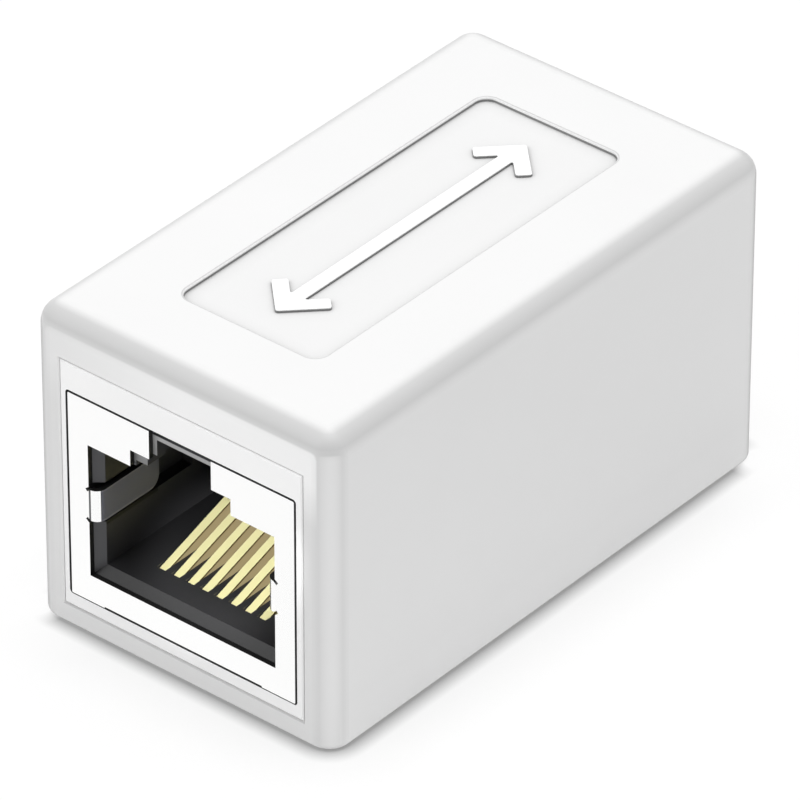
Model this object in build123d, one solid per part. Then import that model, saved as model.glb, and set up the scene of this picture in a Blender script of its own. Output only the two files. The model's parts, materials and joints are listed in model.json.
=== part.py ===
# Inline coupler for shielded network cords: one straight socket at each end.
# Two identical jacks stand back to back on an upright board inside a white sleeve.
# Frame: origin at the middle of the base, +Z up to the latch side of the sockets,
# +Y from the front socket to the rear one. Sizes are in millimetres.
import os
from math import radians, tan

from build123d import *

# Sleeve
side_wall = 2.0
top_wall = 2.8
base_wall = 1.42
crown_radius = 1.4
base_radius = 0.4
panel_side_margin = 5.64
panel_end_margin = 5.52
panel_corner = 0.85
panel_depth = 0.28
panel_rim = 0.12
mouth_break = 0.08

# Guide ribs inside the sleeve, which hold the jacks and stop the bezels
rib_width = 1.2
rib_low_rise = 2.63
rib_high_rise = 10.63
rib_spread = 6.6

# Bezel with its four snap arms
bezel_side = 0.395
bezel_top = 1.72
bezel_base = 0.83
bezel_depth = 3.0
bezel_gap = 0.15
bezel_base_gap = 0.07
arm_width = 2.4
arm_spread = 3.4
arm_length = 5.6
arm_top_thickness = 1.0
arm_base_thickness = 0.6
barb_height = 0.3
barb_length = 1.6
barb_room = 0.15

# Folded shield
shield_width = 15.91
shield_height = 13.21
sheet = 0.32
fold_radius = 0.08
hem_slot_width = 11.2
hem_slot_height = 0.08
seam_width = 0.12
seam_dovetail = 1.6
leg_width = 1.2
leg_low_rise = 4.23
leg_high_rise = 9.83
lance_width = 3.0
lance_length = 2.4
lance_rise = 0.52
lance_slit = 0.15

# Window in the shield's front: body, latch shoulder and latch notch
window_width = 13.17
window_sill = 1.73
window_head = 2.88
shoulder_width = 7.07
shoulder_head = 1.83
latch_width = 4.36
latch_cutback = 0.8

# Ground tabs at both sides of the window
tab_rise = 3.67
tab_height = 2.02
tab_reach = 4.95
tab_bend = 0.62
tab_flat = 0.06
tab_low_round = 0.75
tab_high_round = 0.4
relief_length = 0.3
relief_width = 0.2
relief_tilt = 38

# Moulded socket housing
lead_in_side = 0.525
lead_in_floor = 0.56
lead_in_depth = 0.45
cavity_depth = 12.2
roof_drop = 0.08
shoulder_inset = 0.13
shoulder_roof_drop = 0.77
keyway_inset = 0.41
keyway_rise = 0.18
latch_inset = 0.28
latch_roof = 0.63
catch_thickness = 1.45
latch_depth = 9.5
back_wall = 1.2
tab_pocket_depth = 0.72
tab_pocket_length = 7.8
tab_pocket_room = 0.28
comb_room = 0.6

# Stamped contacts
contact_count = 8
pitch = 1.016
blade = 0.5
nose_depth = 2.4
nose_drop = 0.21
finger_angle = 18.6
finger_height = 0.84
finger_overrun = 0.7
root_height = 0.62
tail_height = 0.5
tail_row_rise = 2.54
tail_length = 0.4
nose_round = 0.22

# Contact carrier
carrier_block = 3.2
tongue_width = 10.1
tongue_thickness = 0.6
carrier_height = 7.7
standoff = 1.0
standoff_width = 1.8
peg_radius = 0.5
peg_spread = 6.2
peg_low_rise = 2.53
peg_high_rise = 6.23

# Circuit board
board_thickness = 1.6
tail_hole_radius = 0.42
hole_sides = 12

# Clearances
fit = 0.05
seat = 0.02
slip = 0.03
slot_slip = 0.06

# Places across
shield_half = shield_width / 2
pocket_width = shield_width + 2 * (bezel_gap + bezel_side + fit)
body_width = pocket_width + 2 * side_wall
panel_width = body_width - 2 * panel_side_margin
window_half = window_width / 2
housing_half = shield_half - sheet - fit
cavity_half = window_half - lead_in_side
shoulder_half = shoulder_width / 2 - shoulder_inset
latch_half = latch_width / 2 - latch_inset
keyway_half = latch_width / 2 + keyway_inset
first_contact = -pitch * (contact_count - 1) / 2
contact_places = [first_contact + pitch * i for i in range(contact_count)]
both_sides = (-1, 1)

# Heights
shield_bottom = base_wall + fit + bezel_base + bezel_base_gap
shield_top = shield_bottom + shield_height
pocket_top = shield_top + bezel_gap + bezel_top + fit
body_height = pocket_top + top_wall
rib_heights = [shield_bottom + rise for rise in (rib_low_rise, rib_high_rise)]
leg_low, leg_high = shield_bottom + leg_low_rise, shield_bottom + leg_high_rise
window_bottom = shield_bottom + window_sill
window_top = shield_top - window_head
shoulder_top = shield_top - shoulder_head
tab_bottom = window_bottom + tab_rise
housing_bottom = shield_bottom + sheet + fit
housing_top = shield_top - sheet - fit
cavity_floor = window_bottom + lead_in_floor
cavity_roof = window_top - roof_drop
shoulder_roof = shoulder_top - shoulder_roof_drop
keyway_roof = shoulder_top + keyway_rise
latch_ceiling = shield_top - latch_roof
tongue_top = housing_bottom + tongue_thickness
root_bottom = tongue_top + slip
root_top = root_bottom + root_height
nose_top = cavity_floor - nose_drop
tail_row = root_bottom + root_height / 2
carrier_top = housing_bottom + carrier_height
peg_low, peg_high = shield_bottom + peg_low_rise, shield_bottom + peg_high_rise

# Depths behind a socket's face
housing_front = sheet + seat
housing_back = cavity_depth + back_wall
carrier_front = housing_back + fit
carrier_end = carrier_front + carrier_block
can_end = carrier_end + standoff - fit
half_length = can_end + fit + board_thickness / 2
body_length = 2 * half_length
panel_length = body_length - 2 * panel_end_margin
finger_slope = tan(radians(finger_angle))
finger_end = cavity_depth + finger_overrun
riser_depth = (carrier_front + carrier_end) / 2
far_side = half_length + board_thickness / 2 + tail_length


def span(x0, x1, z0, z1):
    """Rectangle between two limits across and two limits up."""
    return Pos((x0 + x1) / 2, (z0 + z1) / 2) * Rectangle(x1 - x0, z1 - z0)


def carry(outline, start, end):
    """Carry an outline drawn across and up from one depth to another."""
    return extrude(Plane.XZ.offset(-start) * outline, amount=start - end)


def side_plate(outline, place, thickness):
    """Give an outline drawn along depth and height its thickness across."""
    return Pos(place, 0, 0) * extrude(Plane.YZ * outline, amount=thickness / 2, both=True)


def steps(levels, bottom):
    """Stepped opening: one rectangle for each (half width, top), all from one bottom."""
    return Sketch() + [span(-half, half, bottom, top) for half, top in levels]


def edges_at(shape, axis, place):
    """Edges whose whole length lies at one place along an axis."""
    return shape.edges().filter_by_position(axis, place - 0.001, place + 0.001)


# Sleeve
def make_sleeve():
    body = Pos(0, 0, body_height / 2) * Box(body_width, body_length, body_height)
    uprights = body.edges().filter_by(Axis.Z)
    body = fillet(uprights + edges_at(body, Axis.Z, body_height), crown_radius)
    body = fillet(edges_at(body, Axis.Z, 0), base_radius)
    pocket = span(-pocket_width / 2, pocket_width / 2, base_wall, pocket_top)
    sleeve = body - carry(pocket, -half_length, half_length)
    sleeve = chamfer(mouth_edges(sleeve), mouth_break)
    sleeve = sleeve + guide_ribs()
    sleeve = sleeve - snap_recesses(1) - snap_recesses(-1)
    return recess_panel(sleeve)


def mouth_edges(sleeve):
    """Outlines of the pocket at the sleeve's two faces."""
    inner = pocket_width / 2 + 0.01
    found = edges_at(sleeve, Axis.Y, -half_length) + edges_at(sleeve, Axis.Y, half_length)
    return [
        edge for edge in found
        if abs(edge.center().X) < inner and base_wall - 0.01 < edge.center().Z < pocket_top + 0.01
    ]


def guide_ribs():
    """Ribs along the pocket's walls, from the back of one bezel to the other's."""
    reach = half_length - bezel_depth - fit
    crest = shield_half + fit
    bars = Sketch()
    for side in both_sides:
        wall = side * pocket_width / 2
        for height in rib_heights:
            inner = side * crest
            low, high = height - rib_width / 2, height + rib_width / 2
            bars += span(min(inner, wall), max(inner, wall), low, high)
        left, right = side * rib_spread - rib_width / 2, side * rib_spread + rib_width / 2
        bars += span(left, right, shield_top + fit, pocket_top)
        bars += span(left, right, base_wall, shield_bottom - fit)
    return carry(bars, -reach, reach)


def snap_recesses(end):
    """Shallow recesses that the barbs of one bezel spring into."""
    near = half_length - bezel_depth - arm_length - barb_room
    far = near + barb_length + 2 * barb_room
    depth = barb_height + barb_room
    holes = Sketch()
    for side in both_sides:
        left = side * arm_spread - arm_width / 2 - barb_room
        right = side * arm_spread + arm_width / 2 + barb_room
        holes += span(left, right, pocket_top, pocket_top + depth - fit)
        holes += span(left, right, base_wall - depth + fit, base_wall)
    return carry(holes, min(end * near, end * far), max(end * near, end * far))


def recess_panel(sleeve):
    """Long shallow panel sunk into the top, with a softened rim."""
    plate = Pos(0, 0, body_height) * RectangleRounded(panel_width, panel_length, panel_corner)
    sleeve = sleeve - extrude(plate, amount=-panel_depth)
    rim = [
        edge for edge in edges_at(sleeve, Axis.Z, body_height)
        if abs(edge.center().X) < panel_width / 2 + 0.01
        and abs(edge.center().Y) < panel_length / 2 + 0.01
    ]
    return fillet(rim, panel_rim)


# Bezel
def make_bezel():
    wide = pocket_width / 2 - fit
    low, high = base_wall + fit, pocket_top - fit
    ring = carry(span(-wide, wide, low, high), 0, bezel_depth)
    ring = chamfer(edges_at(ring, Axis.Y, 0), mouth_break)
    hole_half = shield_half + bezel_gap
    hole = span(-hole_half, hole_half, shield_bottom - bezel_base_gap, shield_top + bezel_gap)
    hole = fillet(hole.vertices(), fold_radius + bezel_gap)
    bezel = ring - carry(hole, 0, bezel_depth)
    for side in both_sides:
        bezel += side_plate(snap_arm(high, -arm_top_thickness, barb_height), side * arm_spread, arm_width)
        bezel += side_plate(snap_arm(low, arm_base_thickness, -barb_height), side * arm_spread, arm_width)
    return bezel


def snap_arm(skin, thickness, barb):
    """Arm behind the ring, with a ramp that ends in a square catch."""
    end = bezel_depth + arm_length
    catch = end - barb_length
    points = [
        (bezel_depth, skin),
        (catch, skin),
        (catch, skin + barb),
        (end, skin),
        (end, skin + thickness),
        (bezel_depth, skin + thickness),
    ]
    return make_face(Polyline(*points, close=True))


# Shield
def make_shield():
    outline = span(-shield_half, shield_half, shield_bottom, shield_top)
    skin = fillet(carry(outline, 0, can_end).edges().filter_by(Axis.Y), fold_radius)
    inner_half = shield_half - sheet
    inner = span(-inner_half, inner_half, shield_bottom + sheet, shield_top - sheet)
    can = skin - carry(inner, sheet, can_end)
    levels = [(window_half, window_top), (shoulder_width / 2, shoulder_top)]
    can = can - carry(steps(levels, window_bottom), 0, sheet)
    notch = span(-latch_width / 2, latch_width / 2, window_bottom, shield_top + sheet)
    can = can - carry(notch, 0, sheet) - carry(notch, 0, latch_cutback)
    half_slot = hem_slot_width / 2
    can = can - carry(span(-half_slot, half_slot, 0, shield_bottom + hem_slot_height), 0, sheet)
    can = can - bottom_seam()
    for flip in both_sides:
        can = cut_lance(can, flip)
    can = can + [ground_tab(side) for side in both_sides]
    can = can - [relief_slit(side, end) for side in both_sides for end in both_sides]
    return can + shield_leg(1, leg_high) + shield_leg(-1, leg_low)


def bottom_seam():
    """Butt joint of the folded sheet under the socket, locked by a dovetail."""
    middle = (lance_end() + can_end) / 2
    reach = seam_dovetail
    line = Polyline(
        (0, lance_end()),
        (0, middle - reach / 2),
        (reach, middle - reach),
        (reach, middle + reach),
        (0, middle + reach / 2),
        (0, can_end + sheet),
    )
    slit = Pos(0, 0, shield_bottom - sheet) * trace(line, seam_width)
    return extrude(slit, amount=3 * sheet)


def lance_end():
    """Depth at which the locking lances leave the sheet."""
    return bezel_depth + fit + lance_length


def cut_lance(can, flip):
    """Tongue lanced out of the top or base, which catches behind the bezel."""
    wall = shield_top if flip > 0 else shield_bottom
    tip = bezel_depth + fit
    hole_half = lance_width / 2 + lance_slit
    hole = span(-hole_half, hole_half, wall - sheet, wall + sheet)
    can = can - carry(hole, tip - lance_slit, lance_end())
    outline = [
        (lance_end(), wall),
        (tip, wall + flip * lance_rise),
        (tip, wall + flip * (lance_rise - sheet)),
        (lance_end(), wall - flip * sheet),
    ]
    return can + side_plate(make_face(Polyline(*outline, close=True)), 0, lance_width)


def ground_tab(side):
    """Strap curled in from the window's edge, which touches the plug's own shield."""
    centre = window_half - tab_flat
    face = centre - tab_bend
    curl = Pos(centre, tab_bend) * (Circle(tab_bend) - Circle(tab_bend - sheet))
    curl = curl & span(face, centre, 0, tab_bend)
    strap = curl + span(centre, window_half, 0, sheet) + span(face, face + sheet, tab_bend, tab_reach)
    tab = extrude(Pos(0, 0, tab_bottom) * strap, amount=tab_height)
    ends = edges_at(tab, Axis.Y, tab_reach).filter_by(Axis.X).sort_by(Axis.Z)
    tab = fillet(ends[0], tab_low_round)
    ends = edges_at(tab, Axis.Y, tab_reach).filter_by(Axis.X).sort_by(Axis.Z)
    tab = fillet(ends[-1], tab_high_round)
    return tab if side > 0 else mirror(tab, Plane.YZ)


def relief_slit(side, end):
    """Slanted slit at a root of a ground tab, so that the sheet folds without tearing."""
    height = tab_bottom + tab_height if end > 0 else tab_bottom
    outer = window_half + relief_width / 4
    slit = Pos(side * outer, height) * Rot(0, 0, -side * end * relief_tilt)
    return carry(slit * Rectangle(relief_length, relief_width), 0, sheet)


def shield_leg(side, height):
    """Leg on a side wall that stands in its notch in the board."""
    low, high = height - leg_width / 2, height + leg_width / 2
    outer, inner = side * shield_half, side * (shield_half - sheet)
    return carry(span(min(outer, inner), max(outer, inner), low, high), can_end, can_end + board_thickness)


# Housing
def make_housing():
    outline = span(-housing_half, housing_half, housing_bottom, housing_top)
    block = carry(outline, housing_front, carrier_end)
    under = span(-housing_half, housing_half, housing_bottom, carrier_top + fit)
    block = block - carry(under, housing_back, carrier_end)
    block = block - socket_cavity() - latch_room() - mouth_funnel()
    block = block - [tab_pocket(side) for side in both_sides]
    tongue_half = tongue_width / 2 + fit
    recess = span(-tongue_half, tongue_half, housing_bottom, tongue_top + fit)
    block = block - carry(recess, nose_depth, housing_back)
    return block - [side_plate(comb_slot(), place, blade + 2 * slot_slip) for place in contact_places]


def socket_cavity():
    """Room for the plug's body, up to its roof."""
    body = span(-cavity_half, cavity_half, cavity_floor, cavity_roof)
    return carry(body, housing_front, cavity_depth)


def latch_room():
    """Room for the plug's latch: narrow at the mouth, wide behind the catches.
    One shoulder is left open, which shows the side of the first contact."""
    levels = [(shoulder_half, shoulder_roof), (keyway_half, keyway_roof), (latch_half, latch_ceiling)]
    open_shoulder = span(0, shoulder_half, cavity_roof - fit, keyway_roof)
    keyway = carry(steps(levels, cavity_roof - fit) + open_shoulder, housing_front, latch_depth)
    wide = span(-shoulder_half, shoulder_half, cavity_roof - fit, latch_ceiling)
    return keyway + carry(wide, housing_front + catch_thickness, latch_depth)


def mouth_funnel():
    """Sloped lead-in at the sides and the floor of the mouth."""
    outer = Plane.XZ.offset(-housing_front) * span(-window_half, window_half, window_bottom, cavity_roof)
    inner_plane = Plane.XZ.offset(-housing_front - lead_in_depth)
    inner = inner_plane * span(-cavity_half, cavity_half, cavity_floor, cavity_roof)
    return loft([outer.face(), inner.face()])


def tab_pocket(side):
    """Pocket in a side wall that a ground tab flexes into."""
    inner, outer = side * cavity_half, side * (cavity_half + tab_pocket_depth)
    low, high = tab_bottom - tab_pocket_room, tab_bottom + tab_height + tab_pocket_room
    return carry(span(min(inner, outer), max(inner, outer), low, high), housing_front, tab_pocket_length)


def comb_slot():
    """Slot for one contact, through the floor and up the back wall."""
    tip = finger_top(finger_end) + comb_room
    start, end = nose_depth - slot_slip, housing_back
    points = [
        (start, housing_bottom),
        (end, housing_bottom),
        (end, tip),
        (cavity_depth - fit, tip),
        (cavity_depth - fit, cavity_floor + fit),
        (start, cavity_floor + fit),
    ]
    return make_face(Polyline(*points, close=True))


# Contacts
def finger_top(depth):
    """Height of a finger's upper edge at a depth behind the face."""
    return nose_top + finger_slope * (depth - nose_depth)


def bar(y0, y1, z0, z1, grow):
    """Straight stretch of a contact, with an even margin round it."""
    return span(y0 - grow, y1 + grow, z0 - grow, z1 + grow)


def blade_root(rise, grow=0):
    """Part of a contact behind its nose: bar under the floor, riser and tail."""
    row = tail_row + rise
    tail_low, tail_high = row - tail_height / 2, row + tail_height / 2
    half_riser = root_height / 2
    root = bar(nose_depth + nose_round, riser_depth + half_riser, root_bottom, root_top, grow)
    riser = bar(riser_depth - half_riser, riser_depth + half_riser, root_bottom, max(root_top, tail_high), grow)
    return root + riser + bar(riser_depth, far_side, tail_low, tail_high, grow)


def make_contact(number):
    """Stamped blade: tail in the board, bar under the floor, nose, rising finger."""
    rise = tail_row_rise if number % 2 == 0 else 0
    tip = finger_top(finger_end)
    finger = make_face(Polyline(
        (nose_depth, root_bottom),
        (nose_depth, nose_top),
        (finger_end, tip),
        (finger_end, tip - finger_height),
        (nose_depth + finger_height, nose_top + finger_slope * finger_height - finger_height),
        (nose_depth + finger_height, root_bottom),
        close=True,
    ))
    outline = finger + blade_root(rise)
    corners = outline.vertices()
    nose = corners.filter_by_position(Axis.X, nose_depth - 0.01, nose_depth + 0.01)
    return side_plate(fillet(nose, nose_round), contact_places[number - 1], blade)


# Carrier
def make_carrier():
    block = carry(span(-housing_half, housing_half, housing_bottom, carrier_top), carrier_front, carrier_end)
    half = tongue_width / 2
    tongue = span(-half, half, housing_bottom, tongue_top)
    block = block + carry(tongue, nose_depth + fit, carrier_front)
    for index, place in enumerate(contact_places):
        rise = tail_row_rise if index % 2 else 0
        block = block - side_plate(blade_root(rise, slip), place, blade + 2 * slip)
    for side, height in ((1, peg_low), (-1, peg_high)):
        foot = Pos(side * peg_spread, height)
        block = block + carry(foot * Rectangle(standoff_width, standoff_width), carrier_end, can_end)
        peg_end = can_end + board_thickness - fit
        block = block + carry(foot * Circle(peg_radius), carrier_end, peg_end)
    return block


# Board
def make_board():
    half = shield_half - fit
    outline = span(-half, half, shield_bottom + fit, shield_top - fit)
    for height in (leg_low, leg_high):
        low, high = height - leg_width / 2 - fit, height + leg_width / 2 + fit
        notch_half = shield_half - sheet - fit
        outline -= span(notch_half, half + fit, low, high) + span(-half - fit, -notch_half, low, high)
    for height in (peg_low, peg_high):
        for side in both_sides:
            outline -= Pos(side * peg_spread, height) * RegularPolygon(peg_radius + 2 * fit, hole_sides)
    for place in contact_places:
        for row in (tail_row, tail_row + tail_row_rise):
            outline -= Pos(place, row) * RegularPolygon(tail_hole_radius, hole_sides)
    return carry(outline, -board_thickness / 2, board_thickness / 2)


def write(node, shape):
    """Write one node to its own file."""
    shape.label = node
    export_step(shape, os.path.join("parts", node + ".step"))


def main():
    os.makedirs("parts", exist_ok=True)
    ends = {
        "front": Location((0, -half_length, 0)),
        "rear": Location((0, half_length, 0), (0, 0, 180)),
    }
    jack = {
        "bezel": make_bezel(),
        "jack_shield": make_shield(),
        "jack_housing": make_housing(),
        "contact_carrier": make_carrier(),
    }
    for number in range(1, contact_count + 1):
        jack["contact_" + str(number)] = make_contact(number)
    write("outer_sleeve", make_sleeve())
    write("circuit_board", make_board())
    for end, place in ends.items():
        for name, shape in jack.items():
            write(end + "_" + name, place * shape)


main()
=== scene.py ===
import json
from math import radians, sqrt

import bmesh
import bpy
from mathutils import Matrix, Vector


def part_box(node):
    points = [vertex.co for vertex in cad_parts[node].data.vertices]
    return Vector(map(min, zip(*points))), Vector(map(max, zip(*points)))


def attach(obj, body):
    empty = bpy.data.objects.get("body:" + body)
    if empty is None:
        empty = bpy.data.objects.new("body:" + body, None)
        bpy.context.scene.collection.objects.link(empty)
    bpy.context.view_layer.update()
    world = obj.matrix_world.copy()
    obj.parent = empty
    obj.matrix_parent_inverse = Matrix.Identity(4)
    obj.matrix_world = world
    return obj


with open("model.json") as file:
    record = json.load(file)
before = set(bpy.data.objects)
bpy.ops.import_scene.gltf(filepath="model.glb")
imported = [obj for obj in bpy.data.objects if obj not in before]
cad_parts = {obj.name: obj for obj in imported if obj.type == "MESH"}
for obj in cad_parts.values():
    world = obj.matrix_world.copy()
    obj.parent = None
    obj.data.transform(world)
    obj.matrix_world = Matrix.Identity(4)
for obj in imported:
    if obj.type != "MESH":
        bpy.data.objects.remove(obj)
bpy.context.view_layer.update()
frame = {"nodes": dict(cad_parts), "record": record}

MM = 0.001

# Places read from the frame, in metres
SLEEVE_LOW, SLEEVE_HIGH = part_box("outer_sleeve")
SHIELD_LOW, SHIELD_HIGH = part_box("front_jack_shield")
CENTRE = (SLEEVE_LOW + SLEEVE_HIGH) / 2
FACE = SLEEVE_HIGH.y

# Point in the front mouth that the socket lamp is turned to, and the way from there to the
# lamp, in metres
MOUTH = Vector((2.6 * MM, -FACE, 9.0 * MM))
FROM_MOUTH = Vector((0.122, -0.162, 0.145))

# Depth of the panel in the sleeve's top, and sizes of the raised arrow on it, in metres
PANEL_DEPTH = 0.28 * MM
ARROW_REACH = 10.6 * MM
ARROW_HALF_WIDTH = 2.15 * MM
ARROW_STROKE = 0.95 * MM
ARROW_RISE = 0.17 * MM
ARROW_ROOT = 0.05 * MM
ARROW_CORNER = 0.18 * MM
ARROW_EDGE = 0.05 * MM

# Floor in metres: half its size, how far it lies under the object's base, and how far it
# reaches in under the object
FLOOR_HALF = 3.0
FLOOR_DROP = MM / 100
FLOOR_LIP = 0.7 * MM

# Strength of the floor's glow, and its share in what the camera sees
FLOOR_GLOW = 1.015
GLOW_SHARE = 0.85

# Two shadows in the glow: how far each reaches, in millimetres, the share of light left where
# it is darkest, and the millimetres over which it comes in round a clear corner. The clear
# corners are the one given here and the one opposite.
FLOOR_SHADOWS = ((1.1, 0.33, 1.0), (5.0, 0.9, 5.0))
CLEAR_CORNER = Vector((10.9, 18.1, 0))
CLEAR_RADIUS = 0.9

# Places at a socket in millimetres, across from its middle, behind its face or up, with the
# thickness of its sheet and the slope of its contacts
SHEET = 0.32
SHIELD_BASE = SHIELD_LOW.z / MM
SHIELD_TOP = SHIELD_HIGH.z / MM
TAB_REACH = 5.0
TAB_LOW = 7.77
TAB_HIGH = 9.79
WINDOW_HALF = 6.6
GAP_OUTER = 8.2
NOTCH_SHOULDER = 12.85
NOTCH_TOP = 15.2
NOSE_DEPTH = 2.4
NOSE_HEIGHT = 4.45
FINGER_SLOPE = 0.3365

# Places on the sleeve in millimetres: the strip over a bezel that is painted lighter and how far
# leftwards that fades, the foot of the sides that is painted lighter, and the panel with its
# margins, the radius of its corners, its rim and the reach of the painted shade in it
BROW_LOW = 14.5
BROW_HIGH = 17.3
BROW_REACH = 9.5
FOOT_HEIGHT = 1.7
PANEL_TOP = SLEEVE_HIGH.z / MM
PANEL_FLOOR = (SLEEVE_HIGH.z - PANEL_DEPTH) / MM
PANEL_LIP = PANEL_TOP - 0.14
PANEL_SIDE_MARGIN = 5.64
PANEL_END_MARGIN = 5.52
PANEL_HALF_WIDTH = SLEEVE_HIGH.x / MM - PANEL_SIDE_MARGIN
PANEL_HALF_LENGTH = FACE / MM - PANEL_END_MARGIN
PANEL_CORNER = 0.85
PANEL_RIM = 0.12
HOLLOW_REACH = 1.1

# How much a surface faces a way: nearly square to it, half turned to it, or slanted
SQUARE_ON = 0.97
HALF_TURNED = 0.5
SLANTED = 0.2

# Tones of parts of the sleeve against its flat sides, all painted light and shade: painted shade
# on the rounded edges of the top, on surfaces seen at a low angle and on the ends, painted light
# on the strip over a bezel, painted shade on the upright corners with a painted highlight down
# the middle of each, and painted light at the foot of the sides
CROWN_PAINTED_SHADE = 0.77
GLANCE_PAINTED_SHADE = 0.5
END_PAINTED_SHADE = 0.89
BROW_PAINTED_LIGHT = 1.26
UPRIGHT_PAINTED_SHADE = 0.95
CORNER_PAINTED_HIGHLIGHT = 1.17
FOOT_PAINTED_LIGHT = 1.045

# Tones of the sunk panel, painted light and shade: painted shade at the foot of its walls, on its
# walls and on its floor, a painted highlight on its rim, and a painted shade line round the rim
HOLLOW_PAINTED_SHADE = 0.64
PANEL_WALL_PAINTED_SHADE = 0.42
SUNK_FLOOR_PAINTED_SHADE = 0.97
RIM_PAINTED_HIGHLIGHT = 1.14
RIM_LINE_PAINTED_SHADE = 0.76

# Tones of a socket's moulding, painted light and shade: painted light in the latch keyway and on
# the side slopes of the lead-in, and painted shade on its sill
RECESS_PAINTED_LIGHT = 4.0
SLOPE_PAINTED_LIGHT = 3.8
SILL_PAINTED_SHADE = 0.62

# Colours of painted shade: in gaps, on sheared edges, at a ground tab's root, on its inner face
# with less dark edges as a painted highlight, a painted shadow line under it, and on a contact's
# cut side with a darker painted shadow line along its top
GAP_PAINTED_SHADE = (0.09, 0.09, 0.092, 1)
SHEARED_EDGE_PAINTED_SHADE = (0.006, 0.006, 0.006, 1)
TAB_ROOT_PAINTED_SHADE = (0.1, 0.1, 0.105, 1)
TAB_EDGE_PAINTED_SHADE = (0.23, 0.23, 0.265, 1)
TAB_FACE_PAINTED_SHADE = (0.155, 0.157, 0.19, 1)
TAB_LINE_PAINTED_SHADOW = (0.001, 0.001, 0.001, 1)
CUT_SIDE_PAINTED_SHADE = (0.49, 0.4, 0.22, 1)
CUT_LINE_PAINTED_SHADOW = (0.11, 0.075, 0.015, 1)


# Shader node helpers
def feed(tree, value, target):
    """Link a socket to an input, or set the input to a plain value."""
    if isinstance(value, bpy.types.NodeSocket):
        tree.links.new(value, target)
    else:
        target.default_value = value


def calc(tree, operation, *values):
    """Math node over sockets or numbers."""
    node = tree.nodes.new("ShaderNodeMath")
    node.operation = operation
    for index, value in enumerate(values):
        feed(tree, value, node.inputs[index])
    return node.outputs[0]


def ranged(tree, value, start, end, low=0.0, high=1.0):
    """Map a value from start-to-end to low-to-high, and hold it at the ends."""
    node = tree.nodes.new("ShaderNodeMapRange")
    for name, given in (
        ("Value", value), ("From Min", start), ("From Max", end), ("To Min", low), ("To Max", high),
    ):
        feed(tree, given, node.inputs[name])
    return node.outputs["Result"]


def over(tree, value, edge, width=0.02):
    """1 where a value is over an edge and 0 under it, with a soft step between."""
    return ranged(tree, value, edge - width / 2, edge + width / 2)


def under(tree, value, edge, width=0.02):
    """1 where a value is under an edge and 0 over it, with a soft step between."""
    return ranged(tree, value, edge - width / 2, edge + width / 2, 1.0, 0.0)


def both(tree, *masks):
    """Mask that holds only where every given mask does."""
    product = masks[0]
    for mask in masks[1:]:
        product = calc(tree, "MULTIPLY", product, mask)
    return product


def between(tree, value, low, high):
    """1 where a value lies between two edges and 0 outside them."""
    return both(tree, over(tree, value, low), under(tree, value, high))


def blend(tree, mask, plain, marked):
    """One colour where the mask is 0 and the other where it is 1."""
    node = tree.nodes.new("ShaderNodeMix")
    node.data_type = "RGBA"
    feed(tree, mask, node.inputs[0])
    feed(tree, plain, node.inputs[6])
    feed(tree, marked, node.inputs[7])
    return node.outputs[2]


def mix_shaders(tree, mask, plain, marked):
    """One shader where the mask is 0 and the other where it is 1."""
    node = tree.nodes.new("ShaderNodeMixShader")
    for index, value in enumerate((mask, plain, marked)):
        tree.links.new(value, node.inputs[index])
    return node.outputs[0]


def tinted(tree, colour, amount):
    """Colour multiplied by a grey amount."""
    node = tree.nodes.new("ShaderNodeVectorMath")
    node.operation = "SCALE"
    feed(tree, colour, node.inputs[0])
    feed(tree, amount, node.inputs["Scale"])
    return node.outputs["Vector"]


def own_place(tree):
    """Point in the object's own coordinates."""
    return tree.nodes.new("ShaderNodeTexCoord").outputs["Object"]


def noise(tree, vector, scale, detail=3.0, rough=0.5):
    """Noise over the object's own coordinates; scale is in features per metre."""
    node = tree.nodes.new("ShaderNodeTexNoise")
    node.inputs["Scale"].default_value = scale
    node.inputs["Detail"].default_value = detail
    node.inputs["Roughness"].default_value = rough
    tree.links.new(vector, node.inputs["Vector"])
    return node.outputs["Fac"]


def openness(tree, reach):
    """1 where nothing stands near a surface, and less the more something does. The reach is in
    metres."""
    node = tree.nodes.new("ShaderNodeAmbientOcclusion")
    node.samples = 16
    node.inputs["Distance"].default_value = reach
    return node.outputs["AO"]


def group_node(tree, group):
    """Node that holds a shared group."""
    node = tree.nodes.new("ShaderNodeGroup")
    node.node_tree = group
    return node


def new_group(name, inputs, outputs):
    """Shader group with named sockets: (name, kind, default) in and (name, kind) out."""
    tree = bpy.data.node_groups.new(name, "ShaderNodeTree")
    for label, kind, value in inputs:
        socket = tree.interface.new_socket(label, in_out="INPUT", socket_type="NodeSocket" + kind)
        socket.default_value = value
    for label, kind in outputs:
        tree.interface.new_socket(label, in_out="OUTPUT", socket_type="NodeSocket" + kind)
    source = tree.nodes.new("NodeGroupInput").outputs
    return tree, source, tree.nodes.new("NodeGroupOutput").inputs


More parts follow.
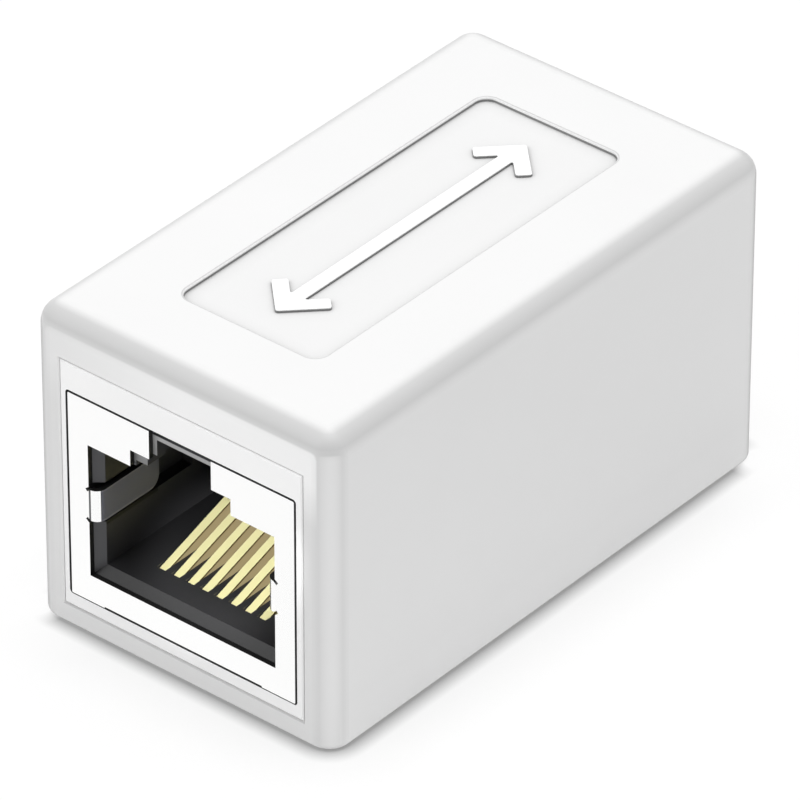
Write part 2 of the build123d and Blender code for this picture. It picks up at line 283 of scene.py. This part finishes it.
# Shared groups
def surface_place():
    """Where a point is, in millimetres, and how much its surface faces each way.
    Hand is 1 on the left of a socket, as one looks into it, and -1 on its right."""
    labels = ("Across", "Depth", "Height", "Side", "Front", "Up", "Hand")
    tree, _, sink = new_group("surface_place", [], [(label, "Float") for label in labels])
    place = tree.nodes.new("ShaderNodeSeparateXYZ")
    facing = tree.nodes.new("ShaderNodeSeparateXYZ")
    tree.links.new(own_place(tree), place.inputs[0])
    tree.links.new(tree.nodes.new("ShaderNodeNewGeometry").outputs["Normal"], facing.inputs[0])
    across = calc(tree, "ABSOLUTE", place.outputs["X"])
    depth = calc(tree, "SUBTRACT", FACE, calc(tree, "ABSOLUTE", place.outputs["Y"]))
    tree.links.new(calc(tree, "DIVIDE", across, MM), sink["Across"])
    tree.links.new(calc(tree, "DIVIDE", depth, MM), sink["Depth"])
    tree.links.new(calc(tree, "DIVIDE", place.outputs["Z"], MM), sink["Height"])
    tree.links.new(calc(tree, "ABSOLUTE", facing.outputs["X"]), sink["Side"])
    tree.links.new(calc(tree, "ABSOLUTE", facing.outputs["Y"]), sink["Front"])
    tree.links.new(facing.outputs["Z"], sink["Up"])
    hand = calc(tree, "MULTIPLY", place.outputs["X"], place.outputs["Y"])
    tree.links.new(calc(tree, "SIGN", hand), sink["Hand"])
    return tree


def moulded_skin():
    """Skin of a moulded part: fine spark-eroded grain, slow tone drift and uneven polish."""
    tree, source, sink = new_group(
        "moulded_skin",
        [("Colour", "Color", (0.8, 0.8, 0.8, 1)), ("Drift", "Float", 0.02), ("Polish", "Float", 0.4)],
        [("Colour", "Color"), ("Roughness", "Float"), ("Height", "Float")],
    )
    place = own_place(tree)
    grain = noise(tree, place, scale=9000.0, detail=2.0, rough=0.6)
    patches = noise(tree, place, scale=140.0, detail=2.0)
    lowest = calc(tree, "SUBTRACT", 1.0, source["Drift"])
    tone = ranged(tree, patches, 0.3, 0.7, low=lowest, high=1.0)
    tree.links.new(tinted(tree, source["Colour"], tone), sink["Colour"])
    gloss = ranged(tree, grain, 0.2, 0.8, low=0.88, high=1.12)
    tree.links.new(calc(tree, "MULTIPLY", source["Polish"], gloss), sink["Roughness"])
    tree.links.new(grain, sink["Height"])
    return tree


def plated_skin():
    """Skin of plated metal: rolling lines along one way, faint stains and uneven gloss."""
    tree, source, sink = new_group(
        "plated_skin",
        [("Colour", "Color", (0.8, 0.8, 0.8, 1)), ("Stain", "Float", 0.04), ("Gloss", "Float", 0.25)],
        [("Colour", "Color"), ("Roughness", "Float"), ("Height", "Float")],
    )
    place = own_place(tree)
    mapping = tree.nodes.new("ShaderNodeMapping")
    mapping.inputs["Scale"].default_value = (1.0, 1.0, 14.0)
    tree.links.new(place, mapping.inputs["Vector"])
    lines = noise(tree, mapping.outputs["Vector"], scale=900.0)
    stains = noise(tree, place, scale=260.0)
    lowest = calc(tree, "SUBTRACT", 1.0, source["Stain"])
    tone = ranged(tree, stains, 0.3, 0.7, low=lowest, high=1.0)
    tree.links.new(tinted(tree, source["Colour"], tone), sink["Colour"])
    gloss = ranged(tree, lines, 0.2, 0.8, low=0.85, high=1.2)
    tree.links.new(calc(tree, "MULTIPLY", source["Gloss"], gloss), sink["Roughness"])
    tree.links.new(lines, sink["Height"])
    return tree


def panel_distance():
    """How far outside the sunk panel's rounded outline a point lies, in millimetres."""
    tree, source, sink = new_group(
        "panel_distance", [("Across", "Float", 0.0), ("Along", "Float", 0.0)], [("Outside", "Float")],
    )
    past = []
    for label, half in (("Across", PANEL_HALF_WIDTH), ("Along", PANEL_HALF_LENGTH)):
        past.append(calc(tree, "SUBTRACT", source[label], half - PANEL_CORNER))
    squares = [calc(tree, "POWER", calc(tree, "MAXIMUM", value, 0.0), 2.0) for value in past]
    corner = calc(tree, "SQRT", calc(tree, "ADD", *squares))
    inside = calc(tree, "MINIMUM", calc(tree, "MAXIMUM", *past), 0.0)
    outside = calc(tree, "SUBTRACT", calc(tree, "ADD", corner, inside), PANEL_CORNER)
    tree.links.new(outside, sink["Outside"])
    return tree


# Painted light and shade that some materials add to their skin: a new colour, and where the surface
# is matt
def shell_painted_shading(tree, where, colour):
    """Painted shade on the rounded edges, on surfaces seen at a low angle, on the ends and at the
    edges of the upright corners, painted light on a strip over each bezel, down the middles of the
    upright corners and on the foot of the sides, and on the panel a painted highlight on its rim,
    painted shade on its walls and floor and a painted shade line round the rim."""
    up, height, front = where["Up"], where["Height"], where["Front"]
    distance = group_node(tree, bpy.data.node_groups["panel_distance"])
    tree.links.new(where["Across"], distance.inputs["Across"])
    tree.links.new(calc(tree, "SUBTRACT", FACE / MM, where["Depth"]), distance.inputs["Along"])
    outside = distance.outputs["Outside"]
    rise = calc(tree, "MAXIMUM", up, 0.0)
    square = calc(tree, "MULTIPLY", rise, rise)
    bend = both(tree, square, calc(tree, "SUBTRACT", 1.0, square), over(tree, outside, 0.3))
    steep = under(tree, up, 0.3, 0.2)
    glance = tree.nodes.new("ShaderNodeLayerWeight").outputs["Facing"]
    edge = both(tree, glance, steep)
    upright = both(tree, where["Side"], front, steep)
    corner = both(tree, upright, under(tree, glance, 0.5, 0.3))
    foot = both(tree, over(tree, where["Side"], 0.9), under(tree, height, FOOT_HEIGHT, 2.6))
    leftward = calc(tree, "MULTIPLY", where["Across"], where["Hand"])
    brow = both(
        tree, over(tree, front, SQUARE_ON), ranged(tree, height, BROW_LOW, BROW_HIGH),
        ranged(tree, leftward, 0.0, BROW_REACH, low=1.0, high=0.3),
    )
    high = over(tree, height, PANEL_FLOOR - 0.1)
    below = under(tree, height, PANEL_LIP, 0.05)
    sunk = both(tree, high, under(tree, outside, PANEL_RIM))
    near = ranged(tree, openness(tree, HOLLOW_REACH * MM), 0.55, 1.0, low=1.0, high=0.0)
    hollow = both(tree, sunk, below, near)
    wall = both(tree, sunk, below, under(tree, up, 0.8, 0.2))
    floor = both(tree, sunk, under(tree, height, PANEL_FLOOR + 0.03))
    rim = both(tree, sunk, over(tree, height, PANEL_LIP, 0.05), under(tree, outside, 0.05))
    line = both(tree, high, over(tree, outside, 0.05, 0.03), under(tree, outside, 0.13, 0.03))
    # Each mask, the values between which its painted shade or light comes in, and the tone
    tones = (
        (bend, 0.0, 0.17, CROWN_PAINTED_SHADE),
        (edge, 0.62, 0.95, GLANCE_PAINTED_SHADE),
        (front, 0.15, 0.85, END_PAINTED_SHADE),
        (brow, 0.0, 1.0, BROW_PAINTED_LIGHT),
        (upright, 0.02, 0.2, UPRIGHT_PAINTED_SHADE),
        (corner, 0.3, 0.5, CORNER_PAINTED_HIGHLIGHT),
        (foot, 0.0, 1.0, FOOT_PAINTED_LIGHT),
        (hollow, 0.0, 1.0, HOLLOW_PAINTED_SHADE),
        (wall, 0.0, 1.0, PANEL_WALL_PAINTED_SHADE),
        (floor, 0.0, 1.0, SUNK_FLOOR_PAINTED_SHADE),
        (rim, 0.0, 1.0, RIM_PAINTED_HIGHLIGHT),
        (line, 0.0, 1.0, RIM_LINE_PAINTED_SHADE),
    )
    for mask, start, end, tone in tones:
        colour = tinted(tree, colour, ranged(tree, mask, start, end, 1.0, tone))
    return colour, None


def trim_painted_shading(tree, where, colour):
    """Painted shade on the walls of the narrow gap between a bezel and its shield, and painted light
    and shade that make the face lighter towards the top."""
    height = where["Height"]
    walls = both(
        tree, under(tree, where["Front"], HALF_TURNED), under(tree, where["Across"], GAP_OUTER),
        between(tree, height, SHIELD_BASE - 0.2, SHIELD_TOP + 0.2),
    )
    colour = tinted(tree, colour, ranged(tree, height, 2.0, 16.0, low=0.97, high=1.03))
    return blend(tree, walls, colour, GAP_PAINTED_SHADE), None


def plate_painted_shading_and_matt(tree, where, colour):
    """Painted shade on the sheared edges and gap walls of the sheet, on the inner faces of the tabs,
    less dark at their edges, and at the roots of the tabs; the tabs, roots and gap walls are also
    matt."""
    across, depth, height = where["Across"], where["Depth"], where["Height"]
    turned = under(tree, where["Front"], HALF_TURNED)
    inside = both(tree, turned, under(tree, across, WINDOW_HALF))
    tab = both(tree, inside, under(tree, depth, TAB_REACH))
    ends = both(tree, tab, under(tree, where["Side"], HALF_TURNED))
    sheared = calc(tree, "MAXIMUM", ends, both(tree, inside, under(tree, depth, SHEET + 0.02)))
    face = between(tree, height, TAB_LOW + 0.12, TAB_HIGH - 0.1)
    root = both(
        tree, between(tree, height, TAB_LOW, TAB_HIGH), over(tree, where["Front"], 0.6),
        over(tree, where["Hand"], 0.5), between(tree, across, WINDOW_HALF - 0.15, WINDOW_HALF - 0.02),
    )
    outer = both(tree, turned, over(tree, depth, 0.0), over(tree, across, WINDOW_HALF + 0.3))
    level = over(tree, calc(tree, "ABSOLUTE", where["Up"]), HALF_TURNED)
    outer = calc(tree, "MAXIMUM", outer, both(tree, level, over(tree, height, SHIELD_TOP - 1)))
    # Inner faces of the tabs are painted dark as shade, with less dark edges as a painted highlight
    tab_painted_shade = blend(tree, face, TAB_EDGE_PAINTED_SHADE, TAB_FACE_PAINTED_SHADE)
    shades = ((tab, tab_painted_shade), (root, TAB_ROOT_PAINTED_SHADE), (sheared, SHEARED_EDGE_PAINTED_SHADE), (outer, GAP_PAINTED_SHADE))
    for mask, shade in shades:
        colour = blend(tree, mask, colour, shade)
    return colour, calc(tree, "MAXIMUM", tab, calc(tree, "MAXIMUM", outer, root))


def moulding_painted_shading(tree, where, colour):
    """Painted light in the latch keyway and on its front rim and on the side slopes of the lead-in,
    painted shade on the sill, painted light near the mouth on a floor that turns to painted shade
    deeper in, painted light on the walls up to the top of the ground tabs and painted shade over
    them, and a painted shadow line under each tab."""
    side, front, up = where["Side"], where["Front"], where["Up"]
    depth, height = where["Depth"], where["Height"]
    recess = over(tree, height, NOTCH_SHOULDER - 0.3, 0.4)
    rim = both(
        tree, over(tree, front, 0.9), under(tree, depth, SHEET + 0.1),
        over(tree, height, NOTCH_SHOULDER),
    )
    wall = over(tree, side, SQUARE_ON)
    slope = both(tree, between(tree, side, SLANTED, SQUARE_ON), over(tree, front, SLANTED))
    sill = both(tree, between(tree, up, SLANTED, SQUARE_ON), over(tree, front, SLANTED))
    line = both(
        tree, wall, over(tree, height, TAB_LOW - 0.5, 0.1), under(tree, height, TAB_LOW),
        under(tree, depth, TAB_REACH),
    )
    floor_painted_shading = ranged(tree, depth, 1.5, 8.0, low=1.6, high=0.5)
    wall_painted_shading = ranged(tree, height, TAB_HIGH, TAB_HIGH + 0.2, low=1.8, high=0.8)
    rim_painted_light = ranged(tree, height, NOTCH_SHOULDER, NOTCH_TOP, low=0.2, high=0.4)
    colour = tinted(tree, colour, ranged(tree, recess, 0.0, 1.0, 1.0, RECESS_PAINTED_LIGHT))
    colour = blend(tree, over(tree, up, SQUARE_ON), colour, tinted(tree, colour, floor_painted_shading))
    colour = blend(tree, rim, colour, tinted(tree, (1.0, 1.0, 1.0), rim_painted_light))
    colour = tinted(tree, colour, ranged(tree, slope, 0.0, 1.0, 1.0, SLOPE_PAINTED_LIGHT))
    colour = blend(tree, wall, colour, tinted(tree, colour, wall_painted_shading))
    colour = tinted(tree, colour, ranged(tree, sill, 0.0, 1.0, 1.0, SILL_PAINTED_SHADE))
    return blend(tree, line, colour, TAB_LINE_PAINTED_SHADOW), None


def contact_painted_shading_and_matt(tree, where, colour):
    """Painted shade on the cut sides of the contacts, browner than the plating, with a darker
    painted shadow line just under the plated upper edge.
    """
    cut = over(tree, where["Side"], HALF_TURNED)
    drop = calc(tree, "MULTIPLY", calc(tree, "SUBTRACT", where["Depth"], NOSE_DEPTH), FINGER_SLOPE)
    below = calc(tree, "SUBTRACT", calc(tree, "ADD", drop, NOSE_HEIGHT), where["Height"])
    side = blend(tree, under(tree, below, 0.13, 0.06), CUT_SIDE_PAINTED_SHADE, CUT_LINE_PAINTED_SHADOW)
    return blend(tree, cut, colour, side), cut


# Materials
def skinned(name, group, colour, values, bump, shader_values, painted_shading_and_matt=None):
    """Material whose colour, roughness and relief come from one of the skin groups. The bump
    is its strength and its height in metres, and a marked place that is matt loses most of
    its metal shine."""
    material = bpy.data.materials.new(name)
    material.use_nodes = True
    tree = material.node_tree
    shader = tree.nodes["Principled BSDF"]
    skin = group_node(tree, group)
    skin.inputs["Colour"].default_value = (*colour, 1)
    for label, value in values.items():
        skin.inputs[label].default_value = value
    for label, value in shader_values.items():
        shader.inputs[label].default_value = value
    tone, roughness = skin.outputs["Colour"], skin.outputs["Roughness"]
    # Painted light and shade change the colour here, and the matt places lose most of their metal
    # shine
    if painted_shading_and_matt:
        where = group_node(tree, bpy.data.node_groups["surface_place"])
        tone, matt = painted_shading_and_matt(tree, where.outputs, tone)
        if matt:
            metal = shader.inputs["Metallic"].default_value
            left = ranged(tree, matt, 0.0, 1.0, metal, 0.1 * metal)
            tree.links.new(left, shader.inputs["Metallic"])
            roughness = calc(tree, "MAXIMUM", roughness, calc(tree, "MULTIPLY", matt, 0.5))
    relief = tree.nodes.new("ShaderNodeBump")
    relief.inputs["Strength"].default_value, relief.inputs["Distance"].default_value = bump
    tree.links.new(tone, shader.inputs["Base Color"])
    tree.links.new(roughness, shader.inputs["Roughness"])
    tree.links.new(skin.outputs["Height"], relief.inputs["Height"])
    tree.links.new(relief.outputs["Normal"], shader.inputs["Normal"])
    return material


def make_materials():
    """Every material, under the name of its slot in the record."""
    surface_place()
    panel_distance()
    mould, plate = moulded_skin(), plated_skin()
    looks = {
        "white_shell": {
            "group": mould, "colour": (0.87, 0.87, 0.87), "values": {"Drift": 0.012, "Polish": 0.42},
            "bump": (0.12, 0.02 * MM), "shader_values": {"Specular IOR Level": 0.4},
            "painted_shading_and_matt": shell_painted_shading,
        },
        "white_trim": {
            "group": mould, "colour": (0.97, 0.97, 0.97), "values": {"Drift": 0.01, "Polish": 0.3},
            "bump": (0.06, 0.02 * MM), "shader_values": {"Specular IOR Level": 1.0},
            "painted_shading_and_matt": trim_painted_shading,
        },
        "nickel_plating": {
            "group": plate, "colour": (1.0, 1.0, 0.996), "values": {"Stain": 0.006, "Gloss": 0.2},
            "bump": (0.05, 0.01 * MM), "shader_values": {"Metallic": 1.0},
            "painted_shading_and_matt": plate_painted_shading_and_matt,
        },
        "black_moulding": {
            "group": mould, "colour": (0.0222, 0.0222, 0.0236),
            "values": {"Drift": 0.25, "Polish": 0.4},
            "bump": (0.15, 0.02 * MM), "shader_values": {"Specular IOR Level": 0.4},
            "painted_shading_and_matt": moulding_painted_shading,
        },
        "gold_plating": {
            "group": plate, "colour": (1.0, 0.95, 0.5), "values": {"Stain": 0.06, "Gloss": 0.4},
            "bump": (0.05, 0.01 * MM), "shader_values": {"Metallic": 0.35},
            "painted_shading_and_matt": contact_painted_shading_and_matt,
        },
        "board_laminate": {
            "group": mould, "colour": (0.03, 0.20, 0.08), "values": {"Drift": 0.2, "Polish": 0.35},
            "bump": (0.1, 0.02 * MM), "shader_values": {"Specular IOR Level": 0.5},
        },
    }
    return {slot: skinned(slot, **look) for slot, look in looks.items()}


def dress_nodes(materials):
    """Give every carried-over piece the material of its slot in the record."""
    slots = {row["node"]: row["material_slot"] for row in frame["record"]["subparts"]}
    for name, node in frame["nodes"].items():
        material = materials[slots[name]]
        if not node.material_slots:
            node.data.materials.append(material)
        for place in node.material_slots:
            place.material = material


# Raised arrow on the panel
def arrow_outline():
    """Double-headed arrow along Y: the corners of one quarter, mirrored to the other three."""
    slant = ARROW_STROKE / sqrt(2)
    shoulder = ARROW_REACH - ARROW_HALF_WIDTH
    neck = ARROW_REACH - ARROW_STROKE * sqrt(2) - ARROW_STROKE / 2
    quarter = [
        (ARROW_HALF_WIDTH, shoulder),
        (ARROW_HALF_WIDTH - slant, shoulder - slant),
        (ARROW_STROKE / 2, neck),
    ]
    right = [(0, ARROW_REACH)] + quarter + [(x, -y) for x, y in reversed(quarter)]
    return right + [(-x, -y) for x, y in right]


def make_arrow(material):
    """Raised mark with rounded corners and a softened upper edge, rooted in the panel's floor."""
    shape = bmesh.new()
    root = SLEEVE_HIGH.z - PANEL_DEPTH - ARROW_ROOT
    corners = [shape.verts.new((x, y, root)) for x, y in arrow_outline()]
    base = shape.faces.new(corners)
    raised = bmesh.ops.extrude_face_region(shape, geom=[base])["geom"]
    tops = [item for item in raised if isinstance(item, bmesh.types.BMVert)]
    bmesh.ops.translate(shape, vec=(0, 0, ARROW_ROOT + ARROW_RISE), verts=tops)
    uprights = [
        edge for edge in shape.edges
        if abs(edge.verts[0].co.z - edge.verts[1].co.z) > MM / 100
    ]
    bmesh.ops.bevel(
        shape, geom=uprights, offset=ARROW_CORNER, segments=5, profile=0.5, affect="EDGES",
    )
    top = root + ARROW_ROOT + ARROW_RISE - MM / 1000
    rim = [edge for edge in shape.edges if all(v.co.z > top for v in edge.verts)]
    bmesh.ops.bevel(shape, geom=rim, offset=ARROW_EDGE, segments=4, profile=0.5, affect="EDGES")
    bmesh.ops.recalc_face_normals(shape, faces=shape.faces)
    for face in shape.faces:
        face.smooth = face.normal.z < 0.999
    mesh = bpy.data.meshes.new("panel_arrow")
    shape.to_mesh(mesh)
    shape.free()
    arrow = bpy.data.objects.new("panel_arrow", mesh)
    bpy.context.collection.objects.link(arrow)
    mesh.materials.append(material)
    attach(arrow, "root")


# Stage, lamps and camera
def floor_light(tree):
    """Strength of the floor's glow, less a fine dark line along the object's foot and a wide
    soft shadow, which both fade out at the clear corners."""
    light = FLOOR_GLOW
    for reach, darkest, fade in FLOOR_SHADOWS:
        lost = ranged(tree, openness(tree, reach * MM), 0.45, 1.0, low=1.0 - darkest, high=0.0)
        for side in (-1, 1):
            away = tree.nodes.new("ShaderNodeVectorMath")
            away.operation = "DISTANCE"
            away.inputs[1].default_value = CLEAR_CORNER * side * MM
            tree.links.new(own_place(tree), away.inputs[0])
            start, end = CLEAR_RADIUS * MM, (CLEAR_RADIUS + fade) * MM
            lost = both(tree, lost, ranged(tree, away.outputs["Value"], start, end))
        light = calc(tree, "MULTIPLY", light, calc(tree, "SUBTRACT", 1.0, lost))
    return light


def stage_material():
    """White floor that keeps the object's shadow, is plain white to metal and clear from below."""
    material = bpy.data.materials.new("studio_floor")
    material.use_nodes = True
    tree = material.node_tree
    matt = tree.nodes["Principled BSDF"]
    matt.inputs["Base Color"].default_value = (0.97, 0.97, 0.97, 1)
    matt.inputs["Roughness"].default_value = 0.9
    matt.inputs["Specular IOR Level"].default_value = 0.0
    glow, plain = tree.nodes.new("ShaderNodeEmission"), tree.nodes.new("ShaderNodeEmission")
    clear = tree.nodes.new("ShaderNodeBsdfTransparent")
    tree.links.new(floor_light(tree), glow.inputs["Strength"])
    paths = tree.nodes.new("ShaderNodeLightPath").outputs
    seen = calc(tree, "MULTIPLY", paths["Is Camera Ray"], GLOW_SHARE)
    from_below = tree.nodes.new("ShaderNodeNewGeometry").outputs["Backfacing"]
    look = mix_shaders(tree, seen, matt.outputs[0], glow.outputs[0])
    look = mix_shaders(tree, paths["Is Glossy Ray"], look, plain.outputs[0])
    look = mix_shaders(tree, from_below, look, clear.outputs[0])
    tree.links.new(look, tree.nodes["Material Output"].inputs["Surface"])
    return material


def make_floor():
    """Wide floor with a hole under the object, so that light reaches its underside."""
    mesh = bpy.data.meshes.new("floor")
    shape = bmesh.new()
    corners = ((1, 1), (-1, 1), (-1, -1), (1, -1))
    hole = (SLEEVE_HIGH.x - FLOOR_LIP, FACE - FLOOR_LIP)
    outer, inner = (
        [shape.verts.new((x * half_width, y * half_length, -FLOOR_DROP)) for x, y in corners]
        for half_width, half_length in ((FLOOR_HALF, FLOOR_HALF), hole)
    )
    for index in range(4):
        after = (index + 1) % 4
        shape.faces.new((outer[index], outer[after], inner[after], inner[index]))
    shape.to_mesh(mesh)
    shape.free()
    floor = bpy.data.objects.new("floor", mesh)
    bpy.context.collection.objects.link(floor)
    mesh.materials.append(stage_material())


def make_world(strength):
    """Even white surround, seen as plain white by the camera and by metal."""
    world = bpy.data.worlds.new("studio")
    bpy.context.scene.world = world
    world.use_nodes = True
    tree = world.node_tree
    tree.nodes.clear()
    paths = tree.nodes.new("ShaderNodeLightPath").outputs
    seen = calc(tree, "MAXIMUM", paths["Is Camera Ray"], paths["Is Glossy Ray"])
    light, backdrop = (tree.nodes.new("ShaderNodeBackground") for _ in range(2))
    light.inputs["Strength"].default_value = strength
    for node in (light, backdrop):
        node.inputs["Color"].default_value = (1, 1, 1, 1)
    look = mix_shaders(tree, seen, light.outputs[0], backdrop.outputs[0])
    tree.links.new(look, tree.nodes.new("ShaderNodeOutputWorld").inputs["Surface"])


def hold_lamp(lamp, place, target):
    """Put a lamp at a place in metres and turn it to a target."""
    holder = bpy.data.objects.new(lamp.name, lamp)
    aim = (Vector(target) - Vector(place)).to_track_quat("-Z", "Y")
    holder.matrix_world = Matrix.Translation(place) @ aim.to_matrix().to_4x4()
    bpy.context.collection.objects.link(holder)


def make_lamp(name, place, size, power):
    """Square soft lamp turned to the object's middle."""
    lamp = bpy.data.lights.new(name, "AREA")
    lamp.shape = "SQUARE"
    lamp.size = size
    lamp.energy = power
    hold_lamp(lamp, place, CENTRE)


def make_socket_lamp(power):
    """Narrow lamp that reaches only through the front window, to show the contacts."""
    lamp = bpy.data.lights.new("socket_lamp", "SPOT")
    lamp.energy = power
    lamp.spot_size = radians(2.0)
    lamp.spot_blend = 0.2
    lamp.shadow_soft_size = 1.2 * MM
    hold_lamp(lamp, MOUTH + FROM_MOUTH, MOUTH)


def make_camera():
    """Camera at the photograph's angle, solved from the object's own edges."""
    place = Vector((257.49, -308.51, 287.01)) * MM
    forward = Vector((-0.52705, 0.63101, -0.56925)).normalized()
    up = Vector((-0.36576, 0.43620, 0.82216)).normalized()
    right = forward.cross(up)
    camera = bpy.data.cameras.new("camera")
    camera.sensor_width = 36.0
    camera.lens = 401.9
    camera.clip_start = 0.01
    holder = bpy.data.objects.new("camera", camera)
    turn = Matrix((right, right.cross(forward), -forward)).transposed()
    holder.matrix_world = Matrix.Translation(place) @ turn.to_4x4()
    bpy.context.collection.objects.link(holder)
    bpy.context.scene.camera = holder


def main():
    """Camera, materials, arrow, stage and lamps."""
    make_camera()
    materials = make_materials()
    dress_nodes(materials)
    make_arrow(materials["white_shell"])
    make_floor()
    make_world(strength=0.44)
    make_lamp("top_lamp", place=(0.02, 0.05, 0.5), size=0.45, power=1.68)
    make_lamp("front_lamp", place=(-0.16, -0.36, 0.28), size=0.25, power=0.42)
    make_socket_lamp(power=3.7)
    bpy.context.scene.view_settings.view_transform = "Standard"


main()
